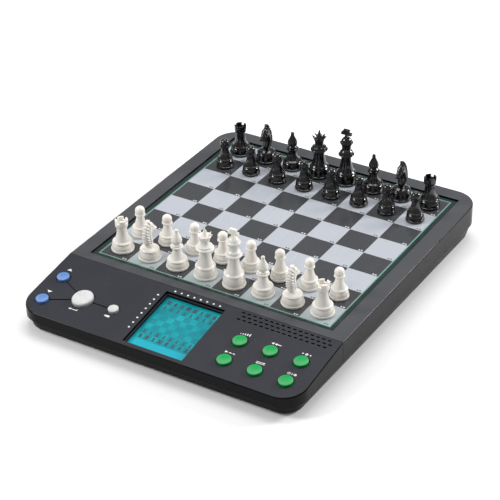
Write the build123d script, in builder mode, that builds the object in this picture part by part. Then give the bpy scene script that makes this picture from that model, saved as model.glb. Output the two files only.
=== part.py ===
"""Electronic chess computer: case, printed board, control panel, electronics and 32 chess pieces.

The origin is on the table, under the middle of the case. +X is to the player's right, +Y is away
from the player and +Z is up. The upper parts are built in the board's own frame, which leans a
little towards the player, and the controls in the frame of the panel's steeper slope.
"""

import math
import os

from build123d import *

os.makedirs("parts", exist_ok=True)

# ---------------------------------------------------------------- driving dimensions (mm, degrees)
SQUARE = 25.0
FIELD = 8 * SQUARE
CASE_WIDTH = 9.5 * SQUARE
CASE_LENGTH = 302.0
FRONT_RADIUS = 18.5
REAR_RADIUS = 20.0
FIELD_Y = 32.0  # middle of the playing field, behind the middle of the case
BOARD_TILT = 0.8
FACE_HEIGHT = 28.0  # playing surface above the table, over the middle of the case
CENTRE_SHIFT = -0.18  # keeps the bounding box centred although the upper shells lean

COVER_LIP = 1.1  # the cover's top above the playing surface
SKIRT_DEPTH = 16.25  # the skirt's lower edge below the playing surface
WALL = 2.2
EDGE_ROUND = 1.1
SEAM_Y = -81.75
SEAM_GAP = 0.3
PANEL_SLOPE = 8.0
PANEL_THICKNESS = 2.2

BOARD_MARGIN = 5.2
BOARD_CLEARANCE = 0.3
FACE_THICKNESS = 1.0
MEMBRANE_THICKNESS = 0.5
STEEL_THICKNESS = 0.4
FLOOR_THICKNESS = 1.5

FOOT_HEIGHT = 1.2
BASE_FLOOR = 2.0
BASE_INSET = 4.5
BASE_DRAFT = 0.30  # how far the bottom cover's wall leans out for each millimetre up
POST_TOP = 9.0

# ---------------------------------------------------------------- frames
LEAN = math.radians(BOARD_TILT)
STEEP = math.radians(BOARD_TILT + PANEL_SLOPE)
BOARD = Plane(
    origin=(0, CENTRE_SHIFT, FACE_HEIGHT),
    x_dir=(1, 0, 0),
    z_dir=(0, -math.sin(LEAN), math.cos(LEAN)),
)
PANEL = Plane(
    origin=BOARD.from_local_coords((0, SEAM_Y, COVER_LIP)),
    x_dir=(1, 0, 0),
    z_dir=(0, -math.sin(STEEP), math.cos(STEEP)),
)
HUGE = 2 * CASE_LENGTH


def save(builder, name):
    """Labels a finished sub-part and writes its STEP file."""
    builder.part.label = name
    export_step(builder.part, f"parts/{name}.step")


def panel_spot(x, down, depth=0.0):
    """A place on the panel: across, down from the seam, and under its surface."""
    return PANEL.offset(-depth).location * Location((x, -down, 0))


def case_outline(inset):
    """The case seen from above, drawn in from its edge by inset."""
    with BuildSketch() as outline:
        Rectangle(CASE_WIDTH - 2 * inset, CASE_LENGTH - 2 * inset)
        fillet(outline.vertices().group_by(Axis.Y)[-1], REAR_RADIUS - inset)
        fillet(outline.vertices().group_by(Axis.Y)[0], FRONT_RADIUS - inset)
    return outline.sketch


def outline_behind(inset, y):
    """The part of the outline that lies behind the line at y."""
    full = case_outline(inset)
    with BuildSketch() as rear:
        add(full)
        with Locations((0, y - HUGE / 2)):
            Rectangle(HUGE, HUGE, mode=Mode.SUBTRACT)
    return rear.sketch


def outline_before(inset, y):
    """The part of the outline that lies in front of the line at y."""
    full = case_outline(inset)
    with BuildSketch() as front:
        add(full)
        with Locations((0, y + HUGE / 2)):
            Rectangle(HUGE, HUGE, mode=Mode.SUBTRACT)
    return front.sketch


# ---------------------------------------------------------------- controls (x, distance down the panel)
PRESS = 1.2
HOLE_GAP = 0.6
FLANGE_LIP = 1.3
FLANGE_THICKNESS = 0.95
FLANGE_GAP = 0.1
BLUE_X, BLUE_ROWS, BLUE_RADIUS = -105.6, (26.9, 54.2), 4.85
ENTER_X, ENTER_DOWN, ENTER_RADII = -77.8, 41.2, (8.0, 8.8)
CLEAR_X, CLEAR_RADIUS = -50.4, 4.1
GREEN_COLUMNS, GREEN_ROWS, GREEN_RADIUS = (51.9, 76.9, 101.9), (31.2, 53.0), 5.4

ROUND_BUTTONS = {
    "up_button": (BLUE_X, BLUE_ROWS[0], BLUE_RADIUS, 2.9),
    "down_button": (BLUE_X, BLUE_ROWS[1], BLUE_RADIUS, 2.9),
    "clear_button": (CLEAR_X, ENTER_DOWN, CLEAR_RADIUS, 2.7),
}
for row_index, row in enumerate(GREEN_ROWS):
    for column_index, column in enumerate(GREEN_COLUMNS):
        green_name = f"green_button_{row_index + 1}_{column_index + 1}"
        ROUND_BUTTONS[green_name] = (column, row, GREEN_RADIUS, 2.8)
ENTER_HEIGHT = 2.9

LCD_X, LCD_DOWN = -0.7, 36.15
LCD_RECESS = (50.8, 59.7)
LCD_LEDGE = 1.5
LCD_LEDGE_DEPTH = 2.0
LCD_PANE_DEPTH = 3.5
LCD_PANE = (LCD_RECESS[0] + 1.0, LCD_RECESS[1] + 1.0, 1.0)
LCD_MODULE_THICKNESS = 2.8

SLOT_COLUMNS, SLOT_PITCH, SLOT_SIZE = 16, 4.72, (2.8, 1.3)
SLOT_ROWS, SLOT_ROW_PITCH = 3, 3.75
GRILLE_X, GRILLE_DOWN = 73.8, 6.7
SPEAKER_X, SPEAKER_DOWN, SPEAKER_RADIUS = 73.0, 12.6, 10.0

KEYPAD_TOP = 4.6
KEYPAD_SHEET = 6.2
BOARD_TOP = 7.4
BOARD_THICKNESS = 1.6
BOARD_POSTS = [(x, down) for x in (-35.0, 35.0) for down in (30.0, 52.0)]
POST_RADIUS = 2.5
SMALL_SCREW_RADIUS = 0.95

CASE_SCREW_SPOTS = [(x, y) for y in (125.0, -60.0) for x in (-95.0, 95.0)] + [(-58.0, -141.0), (36.0, -141.0)]
BOSS_RADIUS = 3.6
SCREW_RADIUS = 1.45
SCREW_CLEARANCE = 0.1
SCREW_LENGTH = 8.0
SCREW_HEAD_RADIUS = 2.75
SCREW_HEAD_HEIGHT = 2.0
COUNTERBORE_DEPTH = 4.0

CELL_RADIUS, CELL_LENGTH, CELL_PITCH = 7.1, 49.5, 15.0
CELL_NUB = (2.7, 1.0)
BAY_Y = 62.0
BAY_INSIDE = (60.0, 47.0)
BAY_TOP = 19.0
BAY_WALL = 2.0
DOOR_SIZE = (63.4, 50.4, 1.9)
DOOR_OPENING = (64.2, 51.2)
HINGE_Y = BAY_Y + DOOR_SIZE[1] / 2 - DOOR_SIZE[2] / 2
HINGE_Z = FOOT_HEIGHT + DOOR_SIZE[2] / 2
HINGE_PIN_RADIUS, HINGE_PIN_LENGTH = 0.7, 1.5


# ---------------------------------------------------------------- board cover
RECESS = FIELD + 2 * (BOARD_MARGIN + BOARD_CLEARANCE)
RECESS_FLOOR = -(FACE_THICKNESS + MEMBRANE_THICKNESS + STEEL_THICKNESS)

with BuildPart() as cover_cavity:
    with BuildSketch(BOARD.offset(-SKIRT_DEPTH - 1)):
        add(outline_behind(WALL, SEAM_Y - 1))
    extrude(amount=SKIRT_DEPTH + 1 + COVER_LIP - WALL)
    with BuildSketch(BOARD.offset(RECESS_FLOOR - FLOOR_THICKNESS)):
        with Locations((0, FIELD_Y)):
            Rectangle(RECESS + 2 * WALL, RECESS + 2 * WALL)
    extrude(amount=HUGE, mode=Mode.SUBTRACT)

with BuildPart() as board_cover:
    with BuildSketch(BOARD.offset(-SKIRT_DEPTH)):
        add(outline_behind(0, SEAM_Y))
    extrude(amount=SKIRT_DEPTH + COVER_LIP)
    top_face = board_cover.faces().sort_by(Axis(BOARD.origin, BOARD.z_dir))[-1]
    outer_rim = top_face.edges().sort_by(Axis.Y)[1:]
    fillet(outer_rim, EDGE_ROUND)
    add(cover_cavity.part, mode=Mode.SUBTRACT)
    with BuildSketch(BOARD.offset(RECESS_FLOOR)):
        with Locations((0, FIELD_Y)):
            Rectangle(RECESS, RECESS)
    extrude(amount=HUGE, mode=Mode.SUBTRACT)
    for x, y in CASE_SCREW_SPOTS[:4]:
        with BuildSketch(Plane.XY.offset(POST_TOP)):
            with Locations((x, y)):
                Circle(BOSS_RADIUS)
                Circle(SCREW_RADIUS + SCREW_CLEARANCE, mode=Mode.SUBTRACT)
        extrude(amount=FACE_HEIGHT + y * math.sin(LEAN) - 3.0 - POST_TOP)
save(board_cover, "board_cover")


# ---------------------------------------------------------------- control panel
def groove(start, end):
    """A shallow link groove between two places on the panel."""
    length = math.dist(start, end)
    angle = math.degrees(math.atan2(start[1] - end[1], end[0] - start[0]))
    middle = ((start[0] + end[0]) / 2, -(start[1] + end[1]) / 2, 0)
    with Locations(Location(middle, (0, 0, angle))):
        Rectangle(length, GROOVE_WIDTH)


GROOVE_WIDTH = 1.3
GROOVE_DEPTH = 0.7
LCD_FRAME = 3.2

with BuildPart() as panel_cavity:
    with BuildSketch(BOARD.offset(-SKIRT_DEPTH - 1)):
        add(outline_before(WALL, SEAM_Y + 1))
    extrude(amount=SKIRT_DEPTH + 1 + COVER_LIP)
    split(bisect_by=PANEL.offset(-PANEL_THICKNESS), keep=Keep.BOTTOM)
    with BuildSketch(PANEL.offset(-LCD_PANE_DEPTH)):
        with Locations((LCD_X, -LCD_DOWN)):
            Rectangle(LCD_RECESS[0] + LCD_FRAME, LCD_RECESS[1] + LCD_FRAME)
    extrude(amount=HUGE, mode=Mode.SUBTRACT)

with BuildPart() as control_panel:
    with BuildSketch(BOARD.offset(-SKIRT_DEPTH)):
        add(outline_before(0, SEAM_Y - SEAM_GAP))
    extrude(amount=SKIRT_DEPTH + COVER_LIP)
    split(bisect_by=PANEL, keep=Keep.BOTTOM)
    slope_face = control_panel.faces().sort_by(Axis(PANEL.origin, PANEL.z_dir))[-1]
    panel_rim = slope_face.edges().sort_by(Axis.Y)[:-1]
    fillet(panel_rim, EDGE_ROUND)
    add(panel_cavity.part, mode=Mode.SUBTRACT)
    with BuildSketch(PANEL):
        with Locations((LCD_X, -LCD_DOWN)):
            Rectangle(*LCD_RECESS)
    extrude(amount=-LCD_LEDGE_DEPTH, mode=Mode.SUBTRACT)
    with BuildSketch(PANEL):
        with Locations((LCD_X, -LCD_DOWN)):
            Rectangle(LCD_RECESS[0] - 2 * LCD_LEDGE, LCD_RECESS[1] - 2 * LCD_LEDGE)
    extrude(amount=-LCD_PANE_DEPTH, mode=Mode.SUBTRACT)
    with BuildSketch(PANEL):
        groove((ENTER_X, ENTER_DOWN), (BLUE_X, BLUE_ROWS[0]))
        groove((ENTER_X, ENTER_DOWN), (BLUE_X, BLUE_ROWS[1]))
        groove((ENTER_X, ENTER_DOWN), (CLEAR_X, ENTER_DOWN))
    extrude(amount=-GROOVE_DEPTH, mode=Mode.SUBTRACT)
    with BuildSketch(PANEL):
        for x, down, radius, _ in ROUND_BUTTONS.values():
            with Locations((x, -down)):
                Circle(radius + HOLE_GAP)
        with Locations((ENTER_X, -ENTER_DOWN)):
            Ellipse(ENTER_RADII[0] + HOLE_GAP, ENTER_RADII[1] + HOLE_GAP)
        for slot_row in range(SLOT_ROWS):
            shift = SLOT_PITCH / 2 if slot_row == 1 else 0.0
            with Locations((GRILLE_X + shift, -GRILLE_DOWN - (slot_row - 1) * SLOT_ROW_PITCH)):
                with GridLocations(SLOT_PITCH, 1, SLOT_COLUMNS, 1):
                    Rectangle(*SLOT_SIZE)
    extrude(amount=-2 * PANEL_THICKNESS, mode=Mode.SUBTRACT)
    with BuildSketch(PANEL.offset(-BOARD_TOP)):
        for x, down in BOARD_POSTS:
            with Locations((x, -down)):
                Circle(POST_RADIUS)
                Circle(SMALL_SCREW_RADIUS + SCREW_CLEARANCE, mode=Mode.SUBTRACT)
    extrude(amount=BOARD_TOP - PANEL_THICKNESS)
    for x, y in CASE_SCREW_SPOTS[4:]:
        panel_drop = (SEAM_Y - y) * math.tan(math.radians(PANEL_SLOPE))
        ceiling = FACE_HEIGHT + COVER_LIP + y * math.sin(LEAN) - panel_drop - PANEL_THICKNESS
        with BuildSketch(Plane.XY.offset(POST_TOP)):
            with Locations((x, y)):
                Circle(BOSS_RADIUS)
                Circle(SCREW_RADIUS + SCREW_CLEARANCE, mode=Mode.SUBTRACT)
        extrude(amount=ceiling + 0.8 - POST_TOP)
save(control_panel, "control_panel")

# ---------------------------------------------------------------- bottom cover
RISE = 15.0


def bottom_tub(inset, floor):
    """A tub with drafted walls, from the floor up to well above the parting plane."""
    lower = case_outline(BASE_INSET - BASE_DRAFT * (floor - FOOT_HEIGHT) + inset)
    upper = case_outline(BASE_INSET - BASE_DRAFT * (RISE - FOOT_HEIGHT) + inset)
    with BuildPart() as tub:
        with BuildSketch(Plane.XY.offset(floor)):
            add(lower)
        with BuildSketch(Plane.XY.offset(RISE)):
            add(upper)
        loft(ruled=True)
    return tub.part


tub_outside = bottom_tub(0, FOOT_HEIGHT)
tub_inside = bottom_tub(WALL, FOOT_HEIGHT + BASE_FLOOR)
LIP_INSET = WALL + 0.3
LIP_THICKNESS = 1.5
LIP_HEIGHT = 2.5
lip_outside = case_outline(LIP_INSET)
lip_inside = case_outline(LIP_INSET + LIP_THICKNESS)
FLOOR_TOP = FOOT_HEIGHT + BASE_FLOOR

with BuildPart() as bottom_cover:
    add(tub_outside)
    bottom_face = bottom_cover.faces().sort_by(Axis.Z)[0]
    fillet(bottom_face.edges(), 1.2)
    add(tub_inside, mode=Mode.SUBTRACT)
    split(bisect_by=BOARD.offset(-SKIRT_DEPTH), keep=Keep.BOTTOM)
    with BuildSketch(BOARD.offset(-SKIRT_DEPTH - LIP_HEIGHT)):
        add(lip_outside)
        add(lip_inside, mode=Mode.SUBTRACT)
    extrude(amount=2 * LIP_HEIGHT)
    with BuildSketch(Plane.XY.offset(FOOT_HEIGHT)):
        with Locations(CASE_SCREW_SPOTS):
            Circle(BOSS_RADIUS + 1.2)
    extrude(amount=POST_TOP - FOOT_HEIGHT)
    with BuildSketch(Plane.XY.offset(FOOT_HEIGHT)):
        with Locations(CASE_SCREW_SPOTS):
            Circle(SCREW_HEAD_RADIUS + 0.4)
    extrude(amount=COUNTERBORE_DEPTH, mode=Mode.SUBTRACT)
    with BuildSketch(Plane.XY.offset(FOOT_HEIGHT)):
        with Locations(CASE_SCREW_SPOTS):
            Circle(SCREW_RADIUS + 0.25)
    extrude(amount=POST_TOP, mode=Mode.SUBTRACT)
    with BuildSketch(Plane.XY.offset(FOOT_HEIGHT)):
        with Locations((0, BAY_Y)):
            Rectangle(DOOR_OPENING[0] + 2 * BAY_WALL, DOOR_OPENING[1] + 2 * BAY_WALL)
    extrude(amount=BAY_TOP + 1.5 - FOOT_HEIGHT)
    with BuildSketch(Plane.XY.offset(FLOOR_TOP)):
        with Locations((0, BAY_Y)):
            Rectangle(*BAY_INSIDE)
    extrude(amount=BAY_TOP - FLOOR_TOP, mode=Mode.SUBTRACT)
    with BuildSketch(Plane.XY.offset(FOOT_HEIGHT)):
        with Locations((0, BAY_Y)):
            Rectangle(*DOOR_OPENING)
    extrude(amount=BASE_FLOOR, mode=Mode.SUBTRACT)
    with Locations(Location((0, HINGE_Y, HINGE_Z), (0, 90, 0))):
        Cylinder(HINGE_PIN_RADIUS + 0.05, DOOR_SIZE[0] + 2 * HINGE_PIN_LENGTH + 0.4, mode=Mode.SUBTRACT)
save(bottom_cover, "bottom_cover")

# ---------------------------------------------------------------- playing surface, sensor and steel sheet
PLATE = FIELD + 2 * BOARD_MARGIN
STACK = [
    ("board_face", 0.0, FACE_THICKNESS),
    ("touch_membrane", FACE_THICKNESS, MEMBRANE_THICKNESS),
    ("steel_plate", FACE_THICKNESS + MEMBRANE_THICKNESS, STEEL_THICKNESS),
]
for name, depth, thickness in STACK:
    with BuildPart() as sheet:
        with BuildSketch(BOARD.offset(-depth - thickness)):
            with Locations((0, FIELD_Y)):
                Rectangle(PLATE, PLATE)
        extrude(amount=thickness)
    save(sheet, name)

# ---------------------------------------------------------------- display
with BuildPart() as lcd_window:
    with Locations(panel_spot(LCD_X, LCD_DOWN, LCD_PANE_DEPTH)):
        Box(*LCD_PANE, align=(Align.CENTER, Align.CENTER, Align.MAX))
save(lcd_window, "lcd_window")

with BuildPart() as lcd_display:
    with Locations(panel_spot(LCD_X, LCD_DOWN, LCD_PANE_DEPTH + LCD_PANE[2])):
        Box(
            LCD_PANE[0] - 1.0,
            LCD_PANE[1] - 1.0,
            LCD_MODULE_THICKNESS,
            align=(Align.CENTER, Align.CENTER, Align.MAX),
        )
save(lcd_display, "lcd_display")

# ---------------------------------------------------------------- circuit board, keypads and speaker
MAIN_BOARD = (-112.0, 112.0, 22.0, 64.0)  # left, right, upper and lower edge on the panel
LEFT_KEYPAD = (-111.5, -41.0, 22.5, 63.5)
RIGHT_KEYPAD = (44.0, 111.5, 24.5, 63.5)
SHEET_CORNER = 9.0  # clears the bottom cover's lip in the case's front corners
PAD_RADIUS = 4.0


def panel_rectangle(edges, corner):
    """A rounded rectangle on the panel from its left, right, upper and lower edge."""
    left, right, upper, lower = edges
    with Locations(((left + right) / 2, -(upper + lower) / 2)):
        RectangleRounded(right - left, lower - upper, corner)


with BuildPart() as main_pcb:
    with BuildSketch(PANEL.offset(-BOARD_TOP - BOARD_THICKNESS)):
        panel_rectangle(MAIN_BOARD, SHEET_CORNER)
        for x, down in BOARD_POSTS:
            with Locations((x, -down)):
                Circle(SMALL_SCREW_RADIUS + 0.25, mode=Mode.SUBTRACT)
        for x, y in CASE_SCREW_SPOTS[4:]:
            with Locations((x, (y - SEAM_Y) / math.cos(math.radians(PANEL_SLOPE)) - 1.3)):
                Circle(BOSS_RADIUS + 2.0, mode=Mode.SUBTRACT)
    extrude(amount=BOARD_THICKNESS)
save(main_pcb, "main_pcb")


def keypad(name, edges, centres):
    """A silicone sheet on the circuit board with a raised contact pad under each button."""
    with BuildPart() as pads:
        with BuildSketch(PANEL.offset(-BOARD_TOP)):
            panel_rectangle(edges, SHEET_CORNER)
            for x, y in CASE_SCREW_SPOTS[4:]:
                with Locations((x, (y - SEAM_Y) / math.cos(math.radians(PANEL_SLOPE)) - 1.3)):
                    Circle(BOSS_RADIUS + 2.0, mode=Mode.SUBTRACT)
        extrude(amount=BOARD_TOP - KEYPAD_SHEET)
        with BuildSketch(PANEL.offset(-KEYPAD_SHEET)):
            for x, down in centres:
                with Locations((x, -down)):
                    Circle(PAD_RADIUS)
        extrude(amount=KEYPAD_SHEET - KEYPAD_TOP)
    save(pads, name)


left_centres = [(BLUE_X, BLUE_ROWS[0]), (BLUE_X, BLUE_ROWS[1]), (ENTER_X, ENTER_DOWN), (CLEAR_X, ENTER_DOWN)]
right_centres = [(x, down) for down in GREEN_ROWS for x in GREEN_COLUMNS]
keypad("keypad_left", LEFT_KEYPAD, left_centres)
keypad("keypad_right", RIGHT_KEYPAD, right_centres)

SPEAKER_FRONT = PANEL_THICKNESS + 0.2
with BuildPart() as speaker_shape:
    with BuildSketch(Plane.XZ):
        with BuildLine():
            Polyline(
                (0, -1.6),
                (SPEAKER_RADIUS - 2.0, 0),
                (SPEAKER_RADIUS, 0),
                (SPEAKER_RADIUS, -1.2),
                (SPEAKER_RADIUS - 3.0, -3.4),
                (6.0, -3.4),
                (6.0, -6.4),
                (0, -6.4),
                close=True,
            )
        make_face()
    revolve(axis=Axis.Z)

with BuildPart() as speaker:
    with Locations(panel_spot(SPEAKER_X, SPEAKER_DOWN, SPEAKER_FRONT)):
        add(speaker_shape.part)
save(speaker, "speaker")


# ---------------------------------------------------------------- buttons
CROWN = 0.7


def cap_bulge(radius, rise):
    """How far a round cap's profile bows outwards, when its centre lies on the axis of turning."""
    chord = math.hypot(radius, rise)
    cap_radius = chord**2 / (2 * rise)
    return cap_radius - math.sqrt(cap_radius**2 - chord**2 / 4)


def round_button(radius, height):
    """A button with a domed crown, a bevelled rim and a flange that keeps it in the panel."""
    rim = 0.8
    flange_top = -PANEL_THICKNESS - FLANGE_GAP
    with BuildPart() as button:
        with BuildSketch(Plane.XZ):
            with BuildLine():
                Polyline(
                    (0, height),
                    (0, flange_top - FLANGE_THICKNESS),
                    (radius + FLANGE_LIP, flange_top - FLANGE_THICKNESS),
                    (radius + FLANGE_LIP, flange_top),
                    (radius, flange_top),
                    (radius, height - CROWN - rim),
                )
                SagittaArc((radius, height - CROWN - rim), (radius - rim, height - CROWN), -0.23)
                SagittaArc((radius - rim, height - CROWN), (0, height), -cap_bulge(radius - rim, CROWN))
            make_face()
        revolve(axis=Axis.Z)
    return button.part


for name, (x, down, radius, height) in ROUND_BUTTONS.items():
    shape = round_button(radius, height)
    with BuildPart() as button:
        with Locations(panel_spot(x, down)):
            add(shape)
    save(button, name)

with BuildPart() as enter_button:
    with BuildSketch(PANEL.offset(-PANEL_THICKNESS - FLANGE_GAP - FLANGE_THICKNESS)):
        with Locations((ENTER_X, -ENTER_DOWN)):
            Ellipse(ENTER_RADII[0] + FLANGE_LIP, ENTER_RADII[1] + FLANGE_LIP)
    extrude(amount=FLANGE_THICKNESS)
    with BuildSketch(PANEL.offset(-PANEL_THICKNESS - FLANGE_GAP)):
        with Locations((ENTER_X, -ENTER_DOWN)):
            Ellipse(*ENTER_RADII)
    extrude(amount=PANEL_THICKNESS + FLANGE_GAP + ENTER_HEIGHT)
    crown_face = enter_button.faces().sort_by(Axis(PANEL.origin, PANEL.z_dir))[-1]
    fillet(crown_face.edges(), 1.8)
save(enter_button, "enter_button")

# ---------------------------------------------------------------- batteries
CELL_Z = FLOOR_TOP + 0.4 + CELL_RADIUS
CONTACT_THICKNESS = 0.5
SPRING_LENGTH = 4.5
CELL_ROWS = [(BAY_Y - CELL_PITCH, 1), (BAY_Y, -1), (BAY_Y + CELL_PITCH, 1)]
HALF_BAY = BAY_INSIDE[0] / 2
CELL_START = -HALF_BAY + CONTACT_THICKNESS + SPRING_LENGTH

with BuildPart() as batteries:
    for y, way in CELL_ROWS:
        with Locations(Location((0, y, CELL_Z), (0, 90 * way, 0))):
            with Locations((0, 0, CELL_START)):
                Cylinder(CELL_RADIUS, CELL_LENGTH, align=(Align.CENTER, Align.CENTER, Align.MIN))
            with Locations((0, 0, CELL_START + CELL_LENGTH)):
                Cylinder(*CELL_NUB, align=(Align.CENTER, Align.CENTER, Align.MIN))
save(batteries, "batteries")

CELL_TIP = CELL_START + CELL_LENGTH + CELL_NUB[1]
with BuildPart() as battery_contacts:
    for y, way in CELL_ROWS:
        with Locations(Location((0, y, CELL_Z), (0, 90 * way, 0))):
            for end in (-HALF_BAY, HALF_BAY - CONTACT_THICKNESS):
                with Locations((0, 0, end)):
                    Box(11, 11, CONTACT_THICKNESS, align=(Align.CENTER, Align.CENTER, Align.MIN))
            with Locations((0, 0, -HALF_BAY + CONTACT_THICKNESS)):
                Cone(4.2, 2.6, SPRING_LENGTH, align=(Align.CENTER, Align.CENTER, Align.MIN))
            with Locations((0, 0, CELL_TIP)):
                Cylinder(
                    3.0,
                    HALF_BAY - CONTACT_THICKNESS - CELL_TIP,
                    align=(Align.CENTER, Align.CENTER, Align.MIN),
                )
save(battery_contacts, "battery_contacts")

FINGER_HOLLOW = (16.0, 5.0, 0.8)
with BuildPart() as battery_door:
    with Locations((0, BAY_Y, FOOT_HEIGHT)):
        Box(*DOOR_SIZE, align=(Align.CENTER, Align.CENTER, Align.MIN))
    fillet(battery_door.edges().filter_by(Axis.X).group_by(Axis.Y)[-1], 0.49 * DOOR_SIZE[2])
    with Locations(Location((0, HINGE_Y, HINGE_Z), (0, 90, 0))):
        Cylinder(HINGE_PIN_RADIUS, DOOR_SIZE[0] + 2 * HINGE_PIN_LENGTH)
    with Locations((0, BAY_Y - DOOR_SIZE[1] / 2 + 6.0, FOOT_HEIGHT)):
        Box(*FINGER_HOLLOW, align=(Align.CENTER, Align.CENTER, Align.MIN), mode=Mode.SUBTRACT)
save(battery_door, "battery_door")

# ---------------------------------------------------------------- feet and screws
FOOT_RADIUS = 6.0
FOOT_SPOTS = [(x, y) for x in (-98.0, 98.0) for y in (-128.0, 108.0)]
with BuildPart() as rubber_feet:
    with BuildSketch(Plane.XY):
        with Locations(FOOT_SPOTS):
            Circle(FOOT_RADIUS)
    extrude(amount=FOOT_HEIGHT)
    chamfer(rubber_feet.faces().filter_by(Axis.Z).group_by(Axis.Z)[0].edges(), 0.4)
save(rubber_feet, "rubber_feet")

with BuildPart() as case_screw:
    Cylinder(SCREW_HEAD_RADIUS, SCREW_HEAD_HEIGHT, align=(Align.CENTER, Align.CENTER, Align.MAX))
    Cylinder(SCREW_RADIUS, SCREW_LENGTH, align=(Align.CENTER, Align.CENTER, Align.MIN))
    with Locations((0, 0, -SCREW_HEAD_HEIGHT)):
        Box(3.2, 0.7, 1.0, align=(Align.CENTER, Align.CENTER, Align.MIN), mode=Mode.SUBTRACT)
        Box(0.7, 3.2, 1.0, align=(Align.CENTER, Align.CENTER, Align.MIN), mode=Mode.SUBTRACT)

with BuildPart() as case_screws:
    for x, y in CASE_SCREW_SPOTS:
        with Locations((x, y, FOOT_HEIGHT + COUNTERBORE_DEPTH)):
            add(case_screw.part)
save(case_screws, "case_screws")

with BuildPart() as pcb_screw:
    Cylinder(2.1, 1.4, align=(Align.CENTER, Align.CENTER, Align.MAX))
    Cylinder(SMALL_SCREW_RADIUS, 5.0, align=(Align.CENTER, Align.CENTER, Align.MIN))

with BuildPart() as pcb_screws:
    for x, down in BOARD_POSTS:
        with Locations(panel_spot(x, down, BOARD_TOP + BOARD_THICKNESS)):
            add(pcb_screw.part)
save(pcb_screws, "pcb_screws")


# ---------------------------------------------------------------- chess pieces
def turned(outline):
    """A turned solid. Each point is (radius, height, bulge): the bulge is how far the stretch
    that reaches the point bows away from a straight line, outwards where it is above zero."""
    with BuildPart() as solid:
        with BuildSketch(Plane.XZ):
            with BuildLine():
                Line((0, outline[-1][1]), (0, 0))
                start = (0, 0)
                for radius, height, bulge in outline:
                    if bulge:
                        SagittaArc(start, (radius, height), -bulge)
                    else:
                        Line(start, (radius, height))
                    start = (radius, height)
            make_face()
        revolve(axis=Axis.Z)
    return solid.part


def foot(rim, shoulder, height):
    """The base of every piece: a rounded rim, a groove, a drum wall and a bead at its shoulder."""
    return [
        (rim - 0.9, 0, 0),
        (rim, 0.9, 0.25),
        (rim, 1.9, 0),
        (rim - 0.75, 2.3, 0),
        (rim - 0.45, 2.9, 0),
        (shoulder + 0.1, height - 2.0, 0.2),
        (shoulder - 0.25, height - 1.6, 0),
        (shoulder + 0.3, height - 1.1, 0.05),
        (shoulder - 0.3, height, 0.25),
    ]


PAWN_HEIGHT = 25.3
ROOK_HEIGHT = 26.6
KNIGHT_HEIGHT = 34.4
BISHOP_HEIGHT = 33.2
QUEEN_HEIGHT = 41.8
KING_HEIGHT = 48.6


def pawn():
    """A two-tier base, a conical body, a thin collar and a bullet head."""
    return turned(
        foot(7.5, 6.2, 8.2)
        + [(5.2, 8.7, 0), (3.0, 17.2, -0.5), (4.1, 17.9, 0), (4.1, 18.5, 0), (3.2, 19.1, 0)]
        + [(3.8, 20.6, 0.1), (3.8, 22.0, 0), (0, PAWN_HEIGHT, cap_bulge(3.8, PAWN_HEIGHT - 22.0))]
    )


def rook():
    """A tower whose rim is cut into four merlons."""
    tower = turned(
        foot(9.0, 7.4, 8.4)
        + [(6.2, 9.0, 0), (4.0, 18.6, -0.7), (4.0, 20.0, 0), (4.9, 21.2, -0.1), (5.0, 22.2, 0)]
        + [(5.0, ROOK_HEIGHT, 0), (3.5, ROOK_HEIGHT, 0), (3.5, 23.4, 0), (0, 23.4, 0)]
    )
    with BuildPart() as solid:
        add(tower)
        with Locations((0, 0, ROOK_HEIGHT - 2.4)):
            Box(20, 2.5, 5, align=(Align.CENTER, Align.CENTER, Align.MIN), mode=Mode.SUBTRACT)
            Box(2.5, 20, 5, align=(Align.CENTER, Align.CENTER, Align.MIN), mode=Mode.SUBTRACT)
    return solid.part


def bishop():
    """A slim body, a collar and a ring, a full mitre and a small ball on top."""
    return turned(
        foot(8.7, 7.4, 8.0)
        + [(5.8, 8.7, 0), (3.3, 16.4, -0.6), (4.9, 17.7, 0), (4.9, 18.5, 0), (3.5, 19.1, 0)]
        + [(3.8, 19.9, 0.2), (2.9, 20.8, 0), (4.1, 23.8, 0.4), (3.2, 26.6, 0.1), (1.3, 30.8, -0.1)]
        + [(0, BISHOP_HEIGHT, cap_bulge(1.3, BISHOP_HEIGHT - 30.8))]
    )


def queen():
    """A tall body, a wide collar, a flared crown cut into eight points and a conical finial."""
    body = turned(
        foot(9.1, 7.5, 10.0)
        + [(6.4, 10.8, 0), (4.5, 22.6, -0.6), (5.7, 23.3, 0), (6.9, 24.0, 0.1), (6.9, 24.9, 0.2)]
        + [(5.7, 25.8, 0), (5.6, 27.0, 0.3), (4.2, 27.8, 0), (3.6, 28.8, 0), (3.6, 30.2, -0.1)]
        + [(6.0, 36.2, -0.5), (5.2, 36.2, 0), (3.3, 34.0, 0), (2.7, 35.2, 0), (1.0, 39.4, -0.15)]
        + [(0.5, 41.2, 0), (0, QUEEN_HEIGHT, cap_bulge(0.5, QUEEN_HEIGHT - 41.2))]
    )
    with BuildPart() as solid:
        add(body)
        with PolarLocations(5.8, 8):
            with Locations(Location((0, 0, 36.4), (90, 0, 90))):
                Cylinder(1.4, 3.4, mode=Mode.SUBTRACT)
    return solid.part


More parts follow.
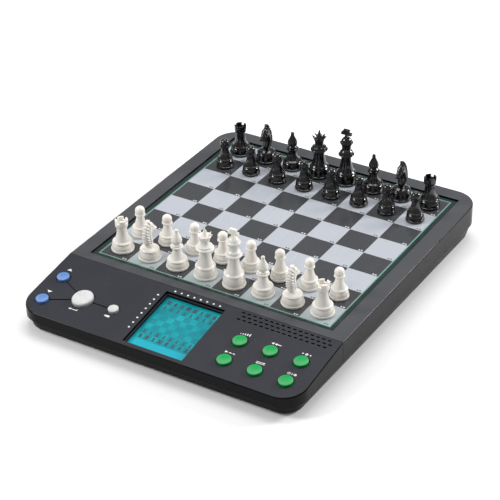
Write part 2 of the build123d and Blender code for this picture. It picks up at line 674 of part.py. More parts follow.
def king():
    """The tallest piece: a collar and a ring, a domed crown and a cross with flared arms."""
    body = turned(
        foot(9.0, 7.5, 11.0)
        + [(6.4, 11.8, 0), (4.1, 24.9, -0.7), (5.2, 25.5, 0), (6.3, 26.1, 0.1), (6.3, 27.0, 0.2)]
        + [(5.0, 27.9, 0), (4.9, 29.6, 0.3), (3.9, 30.6, 0), (3.7, 32.6, -0.1), (5.3, 36.8, -0.3)]
        + [(5.3, 37.7, 0.15), (4.7, 38.2, 0), (1.7, 42.0, 0.5), (0, 42.0, 0)]
    )
    with BuildPart() as solid:
        add(body)
        with BuildSketch(Plane.XZ.offset(-1.2)):
            with BuildLine():
                Polyline((0, 41.6), (1.5, 41.6), (1.1, 44.2), (4.5, 43.9), (4.5, 46.3), (1.3, 46.0))
                Polyline((1.3, 46.0), (2.7, 46.9), (2.7, KING_HEIGHT), (0, KING_HEIGHT))
                mirror(about=Plane.YZ)
            make_face()
        extrude(amount=2.4)
    return solid.part


def knight():
    """A horse's head and neck, looking along +Y, on the common base."""
    base = turned(foot(8.9, 7.2, 9.2) + [(5.6, 10.0, 0.1), (2.8, 10.9, 0.1), (0, 10.9, 0)])
    with BuildPart() as neck:
        with BuildSketch(Plane.YZ):
            with BuildLine():
                Spline((-2.6, 9.6), (-5.8, 16.0), (-6.6, 23.0), (-4.4, 29.6), (-1.4, 33.2))
                Polyline((-1.4, 33.2), (0.2, KNIGHT_HEIGHT), (1.8, 32.2))
                Spline((1.8, 32.2), (4.4, 29.0), (7.4, 25.8), (8.9, 23.8))
                Polyline((8.9, 23.8), (8.8, 21.9), (7.0, 20.8), (4.8, 21.4))
                Spline((4.8, 21.4), (2.2, 20.2), (1.2, 17.6))
                Polyline((1.2, 17.6), (3.3, 14.0), (2.4, 9.6), (-2.6, 9.6))
            make_face()
        extrude(amount=5, both=True)
    with BuildPart() as girth:
        with BuildSketch(Plane.XZ):
            with BuildLine():
                Polyline((0, 9.0), (2.4, 9.0), (3.3, 16.0), (3.2, 26.0), (1.6, 35.0), (0, 35.0))
                mirror(about=Plane.YZ)
            make_face()
        extrude(amount=12, both=True)
    with BuildPart() as solid:
        add(neck.part)
        add(girth.part, mode=Mode.INTERSECT)
        add(base)
    return solid.part


SHAPES = {
    "king": king(),
    "queen": queen(),
    "rook": rook(),
    "bishop": bishop(),
    "knight": knight(),
    "pawn": pawn(),
}
BACK_RANK = ["rook", "knight", "bishop", "queen", "king", "bishop", "knight", "rook"]
SIDES = [("white", 0, 1, 0), ("black", 7, 6, 180)]
STANDING_GAP = 0.03


def square_spot(file_index, rank_index, turn):
    """The middle of a square on the playing surface, turned about the board's normal."""
    x = (file_index - 3.5) * SQUARE
    y = FIELD_Y + (rank_index - 3.5) * SQUARE
    return BOARD.location * Location((x, y, STANDING_GAP), (0, 0, turn))


for side, back_rank, pawn_rank, turn in SIDES:
    for file_index, kind in enumerate(BACK_RANK):
        file_letter = "abcdefgh"[file_index]
        with BuildPart() as piece:
            with Locations(square_spot(file_index, back_rank, turn)):
                add(SHAPES[kind])
        suffix = "" if kind in ("king", "queen") else f"_{file_letter}"
        save(piece, f"{side}_{kind}{suffix}")
        with BuildPart() as piece:
            with Locations(square_spot(file_index, pawn_rank, turn)):
                add(SHAPES["pawn"])
        save(piece, f"{side}_pawn_{file_letter}")
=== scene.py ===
"""The look of an electronic chess computer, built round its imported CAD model.

Materials for every part, the printed marks, the display's picture and the carved knights. Places
and sizes below are in millimetres in the frames of the board and the panel, unless they say
metres; Blender itself works in metres.
"""

import math

import bmesh
import bpy
from mathutils import Matrix, Vector


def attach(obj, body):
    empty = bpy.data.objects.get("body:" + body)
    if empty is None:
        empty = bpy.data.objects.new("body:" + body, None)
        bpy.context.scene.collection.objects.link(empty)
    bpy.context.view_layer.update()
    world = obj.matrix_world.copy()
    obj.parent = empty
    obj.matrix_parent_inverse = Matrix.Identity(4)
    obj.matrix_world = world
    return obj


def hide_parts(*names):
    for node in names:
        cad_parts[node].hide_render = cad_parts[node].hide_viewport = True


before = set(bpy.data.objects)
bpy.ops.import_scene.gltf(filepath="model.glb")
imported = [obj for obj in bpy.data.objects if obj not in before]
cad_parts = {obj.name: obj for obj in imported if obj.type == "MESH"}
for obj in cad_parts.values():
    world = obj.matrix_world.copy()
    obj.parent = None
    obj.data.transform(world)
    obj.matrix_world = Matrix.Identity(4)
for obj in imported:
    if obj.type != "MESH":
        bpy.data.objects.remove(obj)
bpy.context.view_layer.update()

MM = 0.001

# ---------------------------------------------------------------- frames of the board and the panel
BOARD_TILT = 0.8
PANEL_SLOPE = 8.0
FACE_HEIGHT = 28.0
CENTRE_SHIFT = -0.18
COVER_LIP = 1.1
SEAM_Y = -81.75
SQUARE = 25.0
FIELD_Y = 32.0
BOARD = Matrix.Translation(Vector((0, CENTRE_SHIFT, FACE_HEIGHT)) * MM) @ Matrix.Rotation(
    math.radians(BOARD_TILT), 4, "X"
)
PANEL = Matrix.Translation(BOARD @ (Vector((0, SEAM_Y, COVER_LIP)) * MM)) @ Matrix.Rotation(
    math.radians(BOARD_TILT + PANEL_SLOPE), 4, "X"
)
LCD_X, LCD_DOWN = -0.7, 36.15
LCD_HALF_WIDTH, LCD_HALF_HEIGHT = 24.6, 29.0
LCD_GLASS_DEPTH = 4.5
LCD_CELL = 5.6
LCD_GRID = (-0.6, -32.2)
LCD_STRIP_TOP = -55.6

# The board's print, across and up from the lower left corner of a square.
EDGE_LINE = 0.16
MARK_UP, MARK_HALF_HEIGHT = 1.6, 0.62
LETTER_ACROSS, LETTER_HALF_WIDTH = 20.3, 0.55
NUMBER_ACROSS, NUMBER_HALF_WIDTH = 22.4, 0.75
NOTCH_HALF_WIDTH, NOTCH_HALF_HEIGHT = 0.28, 0.22
# How far the green line and the clear margin reach out from the squares, and the front's tint in.
BORDER_LINE = 0.95
CLEAR_MARGIN = 4.1
FRONT_TINT_DEPTH = 24


# ---------------------------------------------------------------- materials
class Look:
    """A material, with short calls that add nodes to its tree."""

    def __init__(self, name):
        self.material = bpy.data.materials.new(name)
        self.material.use_nodes = True
        self.tree = self.material.node_tree
        self.shader = self.tree.nodes["Principled BSDF"]
        coordinates = self.add("ShaderNodeTexCoord")
        self.where = coordinates.outputs["Object"]
        self.normal = coordinates.outputs["Normal"]

    def add(self, kind, **settings):
        node = self.tree.nodes.new(kind)
        for key, value in settings.items():
            setattr(node, key, value)
        return node

    def feed(self, socket, value):
        if isinstance(value, bpy.types.NodeSocket):
            self.tree.links.new(value, socket)
        else:
            socket.default_value = value

    def set(self, **inputs):
        """Feeds the shader's sockets: base_color=..., roughness=... and so on."""
        for key, value in inputs.items():
            name = key.replace("_", " ").title().replace("Ior", "IOR")
            if "Color" in name and not isinstance(value, bpy.types.NodeSocket):
                value = (*value, 1)
            self.feed(self.shader.inputs[name], value)
        return self

    def math(self, operation, *values):
        node = self.add("ShaderNodeMath", operation=operation)
        for socket, value in zip(node.inputs, values):
            self.feed(socket, value)
        return node.outputs[0]

    def most(self, *values):
        """The highest of several masks."""
        result = values[0]
        for value in values[1:]:
            result = self.math("MAXIMUM", result, value)
        return result

    def both(self, *values):
        """The product of several masks."""
        result = values[0]
        for value in values[1:]:
            result = self.math("MULTIPLY", result, value)
        return result

    def mix(self, share, low, high):
        node = self.add("ShaderNodeMix", data_type="RGBA")
        self.feed(node.inputs[0], share)
        for socket, colour in ((node.inputs[6], low), (node.inputs[7], high)):
            self.feed(socket, colour if isinstance(colour, bpy.types.NodeSocket) else (*colour, 1))
        return node.outputs[2]

    def ramp(self, value, start, end, low=0.0, high=1.0):
        node = self.add("ShaderNodeMapRange")
        for socket, number in zip(node.inputs, (value, start, end, low, high)):
            self.feed(socket, number)
        return node.outputs[0]

    def noise(self, size, detail=2.0, stretch=None):
        """A noise whose blotches are about size millimetres across."""
        node = self.add("ShaderNodeTexNoise")
        node.inputs["Detail"].default_value = detail
        node.inputs["Scale"].default_value = 1 / (size * MM)
        vector = self.where
        if stretch:
            mapping = self.add("ShaderNodeMapping")
            mapping.inputs["Scale"].default_value = stretch
            self.feed(mapping.inputs["Vector"], vector)
            vector = mapping.outputs[0]
        self.feed(node.inputs["Vector"], vector)
        return node.outputs["Fac"]

    def flecks(self, size, amount):
        """Scattered specks about size millimetres across, on amount of the cells."""
        node = self.add("ShaderNodeTexVoronoi", feature="F1")
        node.inputs["Scale"].default_value = 1 / (size * MM)
        self.feed(node.inputs["Vector"], self.where)
        split = self.add("ShaderNodeSeparateColor")
        self.feed(split.inputs[0], node.outputs["Color"])
        return self.math("LESS_THAN", split.outputs[0], amount)

    def bump(self, height, distance, strength=1.0):
        node = self.add("ShaderNodeBump")
        node.inputs["Strength"].default_value = strength
        node.inputs["Distance"].default_value = distance * MM
        self.feed(node.inputs["Height"], height)
        self.feed(self.shader.inputs["Normal"], node.outputs[0])

    def split(self, vector):
        node = self.add("ShaderNodeSeparateXYZ")
        self.feed(node.inputs[0], vector)
        return node.outputs

    def local(self, plane):
        """X, Y and Z in millimetres in the frame of a plane of the case."""
        mapping = self.add("ShaderNodeMapping", vector_type="TEXTURE")
        self.feed(mapping.inputs["Vector"], self.where)
        mapping.inputs["Location"].default_value = plane.translation
        mapping.inputs["Rotation"].default_value = plane.to_euler()
        mapping.inputs["Scale"].default_value = (MM, MM, MM)
        return self.split(mapping.outputs[0])

    def near(self, value, centre, reach):
        """1 where value lies within reach of centre."""
        return self.math("COMPARE", value, centre, reach)

    def edges(self, radius):
        """1 along outer edges, for edge wear and painted edge highlights, by how far a rounded normal
        leans from the true one.
        """
        rounded = self.add("ShaderNodeBevel", samples=4)
        rounded.inputs["Radius"].default_value = radius * MM
        true = self.add("ShaderNodeNewGeometry").outputs["Normal"]
        dot = self.add("ShaderNodeVectorMath", operation="DOT_PRODUCT")
        self.feed(dot.inputs[0], rounded.outputs[0])
        self.feed(dot.inputs[1], true)
        return self.ramp(dot.outputs["Value"], 0.985, 0.85)


def shade(colour, factor):
    return tuple(min(1.0, channel * factor) for channel in colour)


BEVEL_ROUGHNESS = 0.12


def case_plastic(name, face, side, rough_face, rough_side):
    """Moulded case plastic: grained and satin on top, glossier on its bevels and down its walls; its
    top is painted lighter as light and its walls painted near-black as shade.
    """
    look = Look(name)
    facing_up = look.split(look.normal)[2]
    upward = look.ramp(facing_up, 0.80, 0.97)
    bevel = look.both(look.ramp(facing_up, 0.15, 0.3), look.ramp(facing_up, 0.97, 0.9))
    cloud = look.noise(35, 3)
    grain = look.noise(0.45, 3)
    # One plastic in two lit copies: the top colour is painted lighter as light, the wall colour
    # painted near-black as shade.
    top = look.mix(look.ramp(cloud, 0.3, 0.7), shade(face, 0.94), shade(face, 1.06))
    top = look.mix(look.ramp(grain, 0.35, 0.65, 0, 0.35), top, shade(face, 1.25))
    shaded_wall = look.mix(look.ramp(cloud, 0.3, 0.7), shade(side, 0.9), shade(side, 1.15))
    body = look.mix(upward, shaded_wall, top)
    # Outer edges painted lighter: partly wear, partly a painted highlight.
    wear_and_edge_highlight = look.both(look.edges(0.5), look.ramp(look.noise(4, 4), 0.35, 0.7))
    body = look.mix(look.both(wear_and_edge_highlight, look.ramp(upward, 0, 1, 0.10, 0.35)), body, shade(face, 1.9))
    dust = look.flecks(0.9, 0.004)
    body = look.mix(look.both(dust, upward, 0.5), body, shade(face, 2.2))
    smudge = look.ramp(look.noise(14, 5), 0.4, 0.75)
    rough = look.ramp(upward, 0, 1, rough_side, rough_face)
    rough = look.math("SUBTRACT", rough, look.both(bevel, rough_side - BEVEL_ROUGHNESS))
    rough = look.math("ADD", rough, look.both(smudge, 0.07))
    rough = look.math("ADD", rough, look.ramp(grain, 0.3, 0.7, -0.03, 0.03))
    look.bump(look.both(grain, look.ramp(upward, 0, 1, 0.25, 1)), 0.03, 0.5)
    return look.set(base_color=body, roughness=rough, specular_ior_level=0.12).material


def board_print():
    """The printed playing field: squares, thin lines, corner marks, border and glassy margin, whose
    outer edge is painted dark as the recess wall's shadow.
    """
    look = Look("board_print")
    x, y, _ = look.local(BOARD @ Matrix.Translation((0, FIELD_Y * MM, 0)))
    half = 4 * SQUARE
    across = look.math("DIVIDE", look.math("ADD", x, half), SQUARE)
    along = look.math("DIVIDE", look.math("ADD", y, half), SQUARE)
    count = look.math("ADD", look.math("FLOOR", across), look.math("FLOOR", along))
    light = look.math("FLOORED_MODULO", count, 2.0)
    u = look.both(look.math("FRACT", across), SQUARE)
    v = look.both(look.math("FRACT", along), SQUARE)

    speckle = look.noise(0.35, 2)
    cloud = look.noise(60, 2)
    silver = look.mix(look.ramp(speckle, 0.3, 0.7), (0.37, 0.39, 0.435), (0.46, 0.48, 0.53))
    silver = look.mix(look.ramp(cloud, 0.3, 0.7, 0, 0.25), silver, (0.46, 0.49, 0.52))
    tint = look.ramp(y, FRONT_TINT_DEPTH - half, -half, 0.0, 0.8)
    silver = look.mix(tint, silver, (0.32, 0.40, 0.39))
    dark = look.mix(look.ramp(speckle, 0.3, 0.7), (0.040, 0.042, 0.046), (0.056, 0.058, 0.064))
    squares = look.mix(light, dark, silver)

    edge = look.most(
        look.math("LESS_THAN", u, EDGE_LINE),
        look.math("GREATER_THAN", u, SQUARE - EDGE_LINE),
        look.math("LESS_THAN", v, EDGE_LINE),
        look.math("GREATER_THAN", v, SQUARE - EDGE_LINE),
    )
    squares = look.mix(look.both(edge, 0.8), squares, (0.42, 0.44, 0.46))

    letter = look.near(u, LETTER_ACROSS, LETTER_HALF_WIDTH)
    number = look.near(u, NUMBER_ACROSS, NUMBER_HALF_WIDTH)
    marks = look.both(look.most(letter, number), look.near(v, MARK_UP, MARK_HALF_HEIGHT))
    notch = look.both(
        look.near(u, NUMBER_ACROSS, NOTCH_HALF_WIDTH), look.near(v, MARK_UP, NOTCH_HALF_HEIGHT)
    )
    marks = look.both(marks, look.math("SUBTRACT", 1.0, notch))
    ink = look.mix(light, (0.75, 0.76, 0.78), (0.03, 0.03, 0.035))
    squares = look.mix(marks, squares, ink)

    def within(reach):
        return look.both(look.near(x, 0.0, half + reach), look.near(y, 0.0, half + reach))

    field = within(0)
    line = within(BORDER_LINE)
    glassy_cloud = look.ramp(look.noise(20, 3), 0.3, 0.7)
    glassy = look.mix(glassy_cloud, (0.006, 0.020, 0.018), (0.010, 0.032, 0.028))
    # Beyond the clear margin the plate is painted near-black as the shadow of the recess wall.
    painted_recess_shadow = look.math("SUBTRACT", 1.0, within(CLEAR_MARGIN))
    glassy = look.mix(look.both(painted_recess_shadow, 0.8), glassy, (0.003, 0.008, 0.007))
    colour = look.mix(line, glassy, (0.15, 0.29, 0.25))
    colour = look.mix(field, colour, squares)

    scuff = look.ramp(look.noise(9, 6, (1, 0.25, 1)), 0.45, 0.8)
    rough = look.math("ADD", 0.20, look.both(scuff, 0.12))
    rough = look.math("ADD", rough, look.both(look.ramp(speckle, 0.3, 0.7), 0.05))
    look.bump(look.math("ADD", look.both(edge, field, 0.6), look.both(speckle, 0.4)), 0.02, 0.35)
    return look.set(base_color=colour, roughness=rough, specular_ior_level=0.45).material


PIXEL, HATCH = 0.44, 0.70


def lcd_picture():
    """The display: a teal ground with a faint chequered board and a plain strip below it."""
    look = Look("lcd_module")
    x, y, _ = look.local(PANEL)
    across = look.math("DIVIDE", look.math("ADD", x, 4 * LCD_CELL - LCD_GRID[0]), LCD_CELL)
    along = look.math("DIVIDE", look.math("ADD", y, 4 * LCD_CELL - LCD_GRID[1]), LCD_CELL)
    count = look.math("ADD", look.math("FLOOR", across), look.math("FLOOR", along))
    odd = look.math("FLOORED_MODULO", count, 2.0)
    inside = look.both(look.near(across, 4.0, 4.0), look.near(along, 4.0, 4.0))
    hatch = look.math("PINGPONG", look.math("ADD", x, y), HATCH / 2)
    hatch = look.ramp(hatch, 0.05, 0.3)
    columns = look.math("PINGPONG", x, PIXEL / 2)
    rows = look.math("PINGPONG", y, PIXEL / 2)
    mesh = look.math("LESS_THAN", look.math("MINIMUM", columns, rows), 0.03)
    cloud = look.ramp(look.noise(16, 3), 0.35, 0.65)
    ground = look.mix(cloud, (0.004, 0.26, 0.31), (0.010, 0.37, 0.42))
    patch = look.mix(hatch, (0.010, 0.175, 0.215), (0.016, 0.25, 0.30))
    colour = look.mix(look.both(odd, inside, 0.8), ground, patch)
    colour = look.mix(look.both(mesh, 0.3), colour, (0.01, 0.16, 0.19))
    strip = look.math("LESS_THAN", y, LCD_STRIP_TOP)
    colour = look.mix(look.both(strip, 0.8), colour, (0.02, 0.40, 0.52))
    shown = look.both(
        look.near(x, LCD_X, LCD_HALF_WIDTH), look.near(y, -LCD_DOWN, LCD_HALF_HEIGHT)
    )
    colour = look.mix(look.math("SUBTRACT", 1.0, shown), colour, (0.02, 0.03, 0.035))
    look.bump(mesh, 0.01, 0.2)
    roughness = look.ramp(look.noise(3), 0.3, 0.7, 0.32, 0.42)
    look.set(base_color=colour, roughness=roughness, specular_ior_level=0.1)
    return look.set(emission_color=colour, emission_strength=0.22).material


def lcd_glass():
    """A clear pane with a faint tint, fine scratches and a little haze."""
    look = Look("lcd_glass")
    scratch = look.ramp(look.noise(1.2, 8, (1, 0.06, 1)), 0.62, 0.75)
    look.bump(scratch, 0.004, 0.3)
    cloud = look.ramp(look.noise(25), 0.3, 0.7)
    colour = look.mix(cloud, (0.004, 0.030, 0.034), (0.008, 0.045, 0.050))
    rough = look.ramp(scratch, 0, 1, 0.04, 0.16)
    look.material.surface_render_method = "BLENDED"
    return look.set(base_color=colour, roughness=rough, alpha=0.06, specular_ior_level=0.12).material


def piece_plastic(name, low, high, rough, coat, glow=0.0):
    """Turned or moulded plastic with soft clouding, fine pits and edges painted brighter, partly as
    rubbing and partly as a highlight.
    """
    look = Look(name)
    cloud = look.noise(9, 4)
    fine = look.noise(0.3, 2)
    body = look.mix(look.ramp(cloud, 0.3, 0.7), low, high)
    # Edges painted brighter: partly rubbing, partly a painted highlight.
    rub_and_highlight = look.both(look.edges(0.35), look.ramp(look.noise(2.5, 4), 0.3, 0.7))
    body = look.mix(look.both(rub_and_highlight, 0.3), body, shade(high, 1.35))
    hazy = look.ramp(look.noise(5, 5), 0.4, 0.7)
    roughness = look.math("ADD", rough, look.both(hazy, 0.08))
    ripple = look.noise(1.8, 2)
    look.bump(look.math("ADD", look.both(fine, 0.5), look.both(ripple, 0.5)), 0.03, 0.35)
    look.set(base_color=body, roughness=roughness, coat_weight=coat, coat_roughness=0.12)
    if glow:
        look.set(subsurface_weight=glow, subsurface_radius=(1.6, 1.2, 0.8), subsurface_scale=MM)
    return look.material


def button_plastic(name, colour, rough=0.34):
    """A glossy button cap, its rim painted paler as a highlight, its sides painted darker as shade,
    and rubbed duller on its crown.
    """
    look = Look(name)
    _, _, up = look.split(look.normal)
    crown = look.ramp(up, 0.90, 0.985)
    cloud = look.ramp(look.noise(4, 3), 0.3, 0.7)
    body = look.mix(cloud, shade(colour, 0.93), shade(colour, 1.07))
    # The rim is painted paler as a highlight.
    painted_highlight = tuple(0.72 * channel + 0.28 * 0.9 for channel in colour)
    rim = look.both(look.math("SUBTRACT", 1.0, crown), look.ramp(up, 0.3, 0.8), 0.5)
    body = look.mix(rim, body, painted_highlight)
    # The sides, facing down and outwards, are painted darker as shade.
    body = look.mix(look.ramp(up, 0.35, 0.0, 0, 0.55), body, shade(colour, 0.35))
    touched = look.ramp(look.noise(1.6, 5), 0.4, 0.7)
    roughness = look.math("ADD", rough, look.both(crown, touched, 0.12))
    look.bump(look.noise(0.4, 3), 0.02, 0.3)
    return look.set(base_color=body, roughness=roughness, specular_ior_level=0.18).material


def rubber(name, low, high, rough, size=0.6):
    """Matt rubber, silicone or film, grained and with a few paler specks."""
    look = Look(name)
    grain = look.noise(size, 4)
    body = look.mix(look.ramp(grain, 0.35, 0.65), low, high)
    body = look.mix(look.both(look.flecks(0.8, 0.02), 0.6), body, shade(high, 1.8))
    look.bump(grain, 0.08, 0.6)
    roughness = look.ramp(grain, 0.3, 0.7, rough - 0.06, rough + 0.06)
    return look.set(base_color=body, roughness=roughness).material


def metal(name, colour, rough, stretch=(1, 12, 1)):
    """Bright sheet or wire metal with drawn lines, light tarnish and small scratches."""
    look = Look(name)
    lines = look.noise(0.6, 6, stretch)
    tarnish = look.ramp(look.noise(6, 5), 0.45, 0.75)
    body = look.mix(look.both(tarnish, 0.5), colour, shade(colour, 0.6))
    body = look.mix(look.ramp(lines, 0.4, 0.6, 0, 0.25), body, shade(colour, 1.25))
    roughness = look.math("ADD", rough, look.both(tarnish, 0.2))
    look.bump(lines, 0.01, 0.4)
    return look.set(base_color=body, metallic=1.0, roughness=roughness).material


def circuit_board():
    """Green solder mask with raised tracks and tinned pads."""
    look = Look("circuit_board")
    x, y, _ = look.local(PANEL)
    wander = look.math("ADD", y, look.both(look.math("FLOOR", look.both(x, 0.125)), 1.37))
    tracks = look.math("LESS_THAN", look.math("PINGPONG", wander, 1.0), 0.3)
    links = look.math("LESS_THAN", look.math("PINGPONG", x, 4.0), 0.2)
    copper = look.most(tracks, links)
    pads = look.both(
        look.near(look.math("PINGPONG", x, 3.0), 0.0, 0.55),
        look.near(look.math("PINGPONG", y, 3.0), 0.0, 0.55),
    )
    cloud = look.ramp(look.noise(12, 3), 0.3, 0.7)
    body = look.mix(cloud, (0.006, 0.075, 0.032), (0.010, 0.105, 0.045))
    body = look.mix(look.both(copper, 0.6), body, (0.03, 0.19, 0.085))
    body = look.mix(pads, body, (0.62, 0.60, 0.55))
    look.bump(look.most(copper, pads), 0.05, 0.6)
    roughness = look.ramp(pads, 0, 1, 0.3, 0.22)
    return look.set(base_color=body, roughness=roughness, metallic=look.both(pads, 0.9)).material


def cell_jacket():
    """Battery wrappers in plain grey with a blue band, and bare steel at both ends."""
    look = Look("cell_jacket")
    x, _, _ = look.split(look.where)
    band = look.math("GREATER_THAN", x, 8.0 * MM)
    ends = look.math("GREATER_THAN", look.math("ABSOLUTE", x), 24.0 * MM)
    cloud = look.ramp(look.noise(5, 3), 0.3, 0.7)
    body = look.mix(cloud, (0.50, 0.51, 0.52), (0.58, 0.59, 0.60))
    band_cloud = look.ramp(look.noise(2, 3), 0.3, 0.7)
    blue = look.mix(band_cloud, (0.035, 0.10, 0.22), (0.050, 0.13, 0.27))
    body = look.mix(band, body, blue)
    body = look.mix(ends, body, (0.55, 0.55, 0.56))
    look.bump(look.noise(0.8, 3, (8, 1, 1)), 0.02, 0.4)
    roughness = look.ramp(look.noise(3), 0.3, 0.7, 0.2, 0.32)
    return look.set(base_color=body, roughness=roughness, metallic=ends).material


CONE_DEPTH = 4.4


def speaker_finish():
    """A pressed steel basket round a dark fibre cone."""
    look = Look("speaker_metal")
    fibre = look.noise(0.5, 6, (1, 4, 1))
    _, _, depth = look.local(PANEL)
    cone = look.math("GREATER_THAN", depth, -CONE_DEPTH)
    body = look.mix(cone, (0.45, 0.45, 0.46), (0.02, 0.02, 0.022))
    body = look.mix(look.ramp(fibre, 0.35, 0.65, 0, 0.3), body, (0.10, 0.10, 0.11))
    look.bump(fibre, 0.05, 0.6)
    roughness = look.ramp(cone, 0, 1, 0.35, 0.85)
    metallic = look.math("SUBTRACT", 1.0, cone)
    return look.set(base_color=body, roughness=roughness, metallic=metallic).material


def ink(name, colour):
    """Pad-printed ink, slightly uneven."""
    look = Look(name)
    patchy = look.noise(0.5, 4)
    body = look.mix(look.ramp(patchy, 0.35, 0.7), shade(colour, 0.86), colour)
    look.bump(patchy, 0.01, 0.4)
    roughness = look.ramp(patchy, 0.3, 0.7, 0.4, 0.55)
    return look.set(base_color=body, roughness=roughness).material


# Each case plastic's first colour is its top, painted lighter as light; the second is its walls,
# painted near-black as shade.
COVER = case_plastic(
    "satin_grey_plastic", (0.067, 0.069, 0.075), (0.0018, 0.0018, 0.0022), 0.36, 0.22
)
PANEL_GREY = case_plastic(
    "dark_grey_plastic", (0.030, 0.031, 0.038), (0.0018, 0.0018, 0.0022), 0.44, 0.22
)
BLACK = case_plastic("black_plastic", (0.012, 0.012, 0.013), (0.006, 0.006, 0.0065), 0.48, 0.36)
IVORY = piece_plastic("ivory_plastic", (0.76, 0.73, 0.67), (0.84, 0.81, 0.76), 0.32, 0.2, 0.10)
EBONY = piece_plastic(
    "ebony_plastic", (0.0016, 0.0016, 0.0018), (0.003, 0.003, 0.0034), 0.12, 0.35
)
GREEN = button_plastic("green_plastic", (0.001, 0.33, 0.070))
BLUE = button_plastic("blue_plastic", (0.10, 0.22, 0.54))
WHITE = button_plastic("white_plastic", (0.60, 0.60, 0.60))
PAINT = ink("white_ink", (0.86, 0.86, 0.86))
SEGMENTS = ink("display_segments", (0.004, 0.085, 0.11))

# A material for each node by name, or by how its name starts.
LOOKS = {
    "board_cover": COVER,
    "control_panel": PANEL_GREY,
    "bottom_cover": BLACK,
    "battery_door": BLACK,
    "board_face": board_print(),
    "touch_membrane": rubber("membrane_film", (0.30, 0.22, 0.10), (0.36, 0.27, 0.13), 0.35, 3),
    "steel_plate": metal("steel_sheet", (0.42, 0.43, 0.44), 0.30),
    "lcd_window": lcd_glass(),
    "lcd_display": lcd_picture(),
    "main_pcb": circuit_board(),
    "keypad_left": rubber("silicone_rubber", (0.30, 0.31, 0.32), (0.36, 0.37, 0.38), 0.6, 1.2),
    "speaker": speaker_finish(),
    "batteries": cell_jacket(),
    "battery_contacts": metal("spring_steel", (0.60, 0.60, 0.61), 0.22, (1, 1, 10)),
    "rubber_feet": rubber("foot_rubber", (0.016, 0.016, 0.017), (0.028, 0.028, 0.029), 0.8),
    "case_screws": metal("zinc_steel", (0.55, 0.56, 0.60), 0.28, (4, 4, 4)),
    "enter_button": WHITE,
    "clear_button": WHITE,
    "up_button": BLUE,
    "down_button": BLUE,
}
LOOKS["keypad_right"] = LOOKS["keypad_left"]
LOOKS["pcb_screws"] = LOOKS["case_screws"]
FAMILIES = {"green_button": GREEN, "white_": IVORY, "black_": EBONY}

for node_name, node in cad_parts.items():
    material = LOOKS.get(node_name)
    if material is None:
        material = next(look for prefix, look in FAMILIES.items() if node_name.startswith(prefix))
    if not node.material_slots:
        node.data.materials.append(material)
    for holder in node.material_slots:
        holder.material = material


# ---------------------------------------------------------------- thin printed shapes
def disc(x, y, radius, sides=24):
    turn = 2 * math.pi / sides
    return [(x + radius * math.cos(i * turn), y + radius * math.sin(i * turn)) for i in range(sides)]


def bar(x, y, width, height):
    w, h = width / 2, height / 2
    return [(x - w, y - h), (x + w, y - h), (x + w, y + h), (x - w, y + h)]


def wedge(x, y, width, height):
    """A triangle whose tip points along +x, or -x where width is below zero."""
    points = [(x - width / 2, y - height / 2), (x + width / 2, y), (x - width / 2, y + height / 2)]
    return points if width > 0 else points[::-1]


def arch(x, y, radius, thickness, start, end, sides=16):
    """A stroke along part of a circle, between two angles in degrees."""
    angles = [math.radians(start + (end - start) * i / sides) for i in range(sides + 1)]
    hole = radius - thickness
    outer = [(x + radius * math.cos(a), y + radius * math.sin(a)) for a in angles]
    inner = [(x + hole * math.cos(a), y + hole * math.sin(a)) for a in angles]
    return outer + inner[::-1]


def printed(name, shapes, depth, thickness, material):
    """Flat shapes on the panel, as one mesh with a real ink thickness, riding on the case."""
    mesh = bmesh.new()
    for shape in shapes:
        rings = []
        for z in (-depth, -depth + thickness):
            rings.append([mesh.verts.new(PANEL @ (Vector((x, y, z)) * MM)) for x, y in shape])
        low, high = rings
        mesh.faces.new(high)
        mesh.faces.new(low[::-1])
        for i in range(len(shape)):
            j = (i + 1) % len(shape)
            mesh.faces.new((low[i], low[j], high[j], high[i]))
    bmesh.ops.triangulate(mesh, faces=[face for face in mesh.faces if len(face.verts) > 4])
    bmesh.ops.recalc_face_normals(mesh, faces=mesh.faces)
    data = bpy.data.meshes.new(name)
    mesh.to_mesh(data)
    mesh.free()
    data.materials.append(material)
    piece = bpy.data.objects.new(name, data)
    bpy.context.scene.collection.objects.link(piece)
    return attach(piece, "case")


INK_THICKNESS = 0.03
DOT_RADIUS = 0.78
# Eight dots down the display's left side and eight along its top.
DOT_COLUMN_X, DOT_COLUMN_DOWN, DOT_COLUMN_STEP = -29.7, 12.6, 5.6
DOT_ROW_X, DOT_ROW_Y, DOT_ROW_STEP = -20.0, -4.0, 5.557
marks = [
    disc(DOT_COLUMN_X, -(DOT_COLUMN_DOWN + i * DOT_COLUMN_STEP), DOT_RADIUS) for i in range(8)
]
marks += [disc(DOT_ROW_X + i * DOT_ROW_STEP, DOT_ROW_Y, DOT_RADIUS) for i in range(8)]


def level_mark(x, y):
    """Five rising bars."""
    return [bar(x - 3.6 + 1.8 * i, y - 1.1 + 0.25 * (i + 1), 0.9, 0.5 * (i + 1)) for i in range(5)]


def back_mark(x, y):
    """Two arrowheads that point back, and a bar."""
    return [wedge(x - 2.6, y, -2.2, 2.2), wedge(x, y, -2.2, 2.2), bar(x + 2.8, y, 3.2, 0.7)]


def hint_mark(x, y):
    """A ring between two dots."""
    return [arch(x, y, 1.15, 0.45, 0, 350), disc(x - 3.0, y, 0.6, 12), disc(x + 3.0, y, 0.6, 12)]


def start_mark(x, y):
    """An arrowhead and two dashes."""
    return [wedge(x - 2.8, y, 2.4, 2.2), bar(x + 0.2, y, 2.2, 0.7), bar(x + 3.0, y, 1.8, 0.7)]


def swap_mark(x, y):
    """Two lines with opposite arrowheads."""
    lines = [bar(x - 0.9, y + 0.65, 5.4, 0.5), bar(x + 0.9, y - 0.65, 5.4, 0.5)]
    return lines + [wedge(x + 2.9, y + 0.65, 1.8, 1.3), wedge(x - 2.9, y - 0.65, -1.8, 1.3)]


